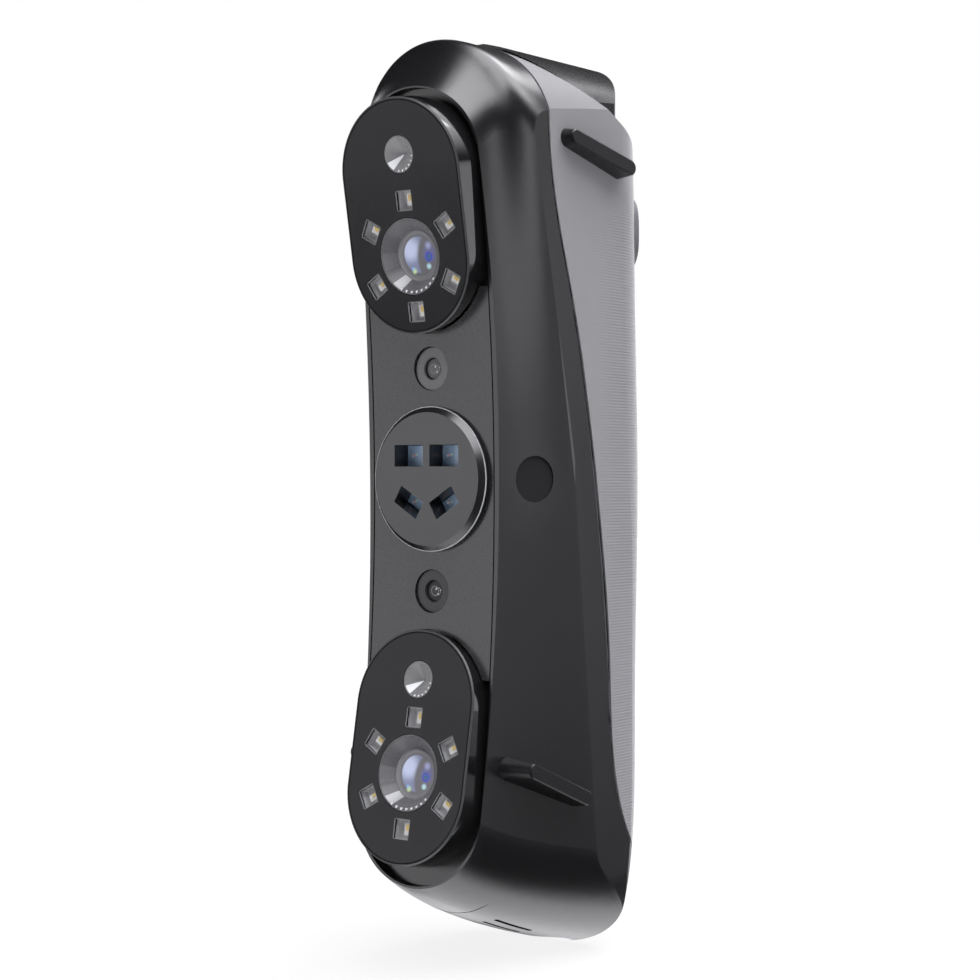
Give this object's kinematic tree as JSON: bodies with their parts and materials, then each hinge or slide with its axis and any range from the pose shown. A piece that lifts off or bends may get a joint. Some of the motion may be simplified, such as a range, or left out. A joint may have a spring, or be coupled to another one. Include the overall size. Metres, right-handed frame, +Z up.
{
  "type": "hand-held laser 3d scanner",
  "caption": "Hand-held laser 3D scanner with a camera pod at each end, a round laser head between them, a grey grip and a key pad behind.",
  "frame": {"origin": "middle of the whole scanner's bounding box", "axes": "+Z up the body from the cable end to the crown, -Y out of the lenses towards the thing scanned, +X to the right of a person looking along +Y at the lenses"},
  "size_m": [0.0546, 0.0763, 0.2163],
  "materials": {
    "barrel_grey": "satin",
    "board_green": "satin",
    "brass": "turned",
    "bright_metal": "machined",
    "cast_metal": "cast",
    "chip_black": "matte",
    "chip_white": "gloss",
    "core_black": "satin",
    "filter_glass": "coated",
    "head_grey": "satin",
    "key_dark": "matte",
    "lens_glass": "coated",
    "mirror_cup": "polished",
    "mount_black": "matte",
    "pane_clear": "clear",
    "panel_grey": "satin",
    "plate_black": "satin",
    "plug_dark": "matte",
    "pod_gloss": "gloss",
    "port_metal": "brushed",
    "rib_rubber": "matte",
    "ribbon": "satin",
    "ring_grey": "satin",
    "shell_black": "satin",
    "sink_black": "anodised",
    "sleeve_grey": "fine knurled",
    "steel": "brushed",
    "tongue_black": "matte",
    "tray_grey": "matte",
    "window_black": "satin"
  },
  "bodies": {
    "scanner": {"beam_panes": "filter_glass", "bench_screws": "steel", "board_chips": "chip_black", "board_screws": "steel", "board_standoffs": "brass", "camera_ribbons": "ribbon", "front_plate": "plate_black", "front_shell": "shell_black", "heat_sink": "sink_black", "key_board": "board_green", "key_board_screws": "steel", "key_domes": "steel", "key_panel": "panel_grey", "laser_block": "bright_metal", "laser_head": "head_grey", "laser_modules": "bright_metal", "lower_camera_board": "board_green", "lower_camera_mount": "mount_black", "lower_flash_cup": "mirror_cup", "lower_led_board": "board_green", "lower_led_chips": "chip_white", "lower_led_panes": "pane_clear", "lower_led_tray": "tray_grey", "lower_lens_barrel": "barrel_grey", "lower_lens_glass": "lens_glass", "lower_pod_housing": "pod_gloss", "lower_ribs": "rib_rubber", "lower_sensor_lens": "lens_glass", "lower_sensor_ring": "ring_grey", "lower_window_plate": "window_black", "main_board": "board_green", "optical_bench": "cast_metal", "port_cup": "port_metal", "port_tongue": "tongue_black", "rear_core": "core_black", "rear_sleeve": "sleeve_grey", "side_plugs": "plug_dark", "upper_camera_board": "board_green", "upper_camera_mount": "mount_black", "upper_flash_cup": "mirror_cup", "upper_led_board": "board_green", "upper_led_chips": "chip_white", "upper_led_panes": "pane_clear", "upper_led_tray": "tray_grey", "upper_lens_barrel": "barrel_grey", "upper_lens_glass": "lens_glass", "upper_pod_housing": "pod_gloss", "upper_ribs": "rib_rubber", "upper_sensor_lens": "lens_glass", "upper_sensor_ring": "ring_grey", "upper_window_plate": "window_black"},
    "scan_key_body": {"scan_key": "key_dark"},
    "plus_key_body": {"plus_key": "key_dark"},
    "minus_key_body": {"minus_key": "key_dark"}
  },
  "joints": [
    {"name": "scan_key_press", "type": "slide", "parent": "scanner", "child": "scan_key_body", "axis": [0, -1, 0], "range_m": [0, 0.0006], "stiffness_N_per_m": 400},
    {"name": "plus_key_press", "type": "slide", "parent": "scanner", "child": "plus_key_body", "axis": [0, -1, 0], "range_m": [0, 0.0006], "stiffness_N_per_m": 400},
    {"name": "minus_key_press", "type": "slide", "parent": "scanner", "child": "minus_key_body", "axis": [0, -1, 0], "range_m": [0, 0.0006], "stiffness_N_per_m": 400}
  ]
}
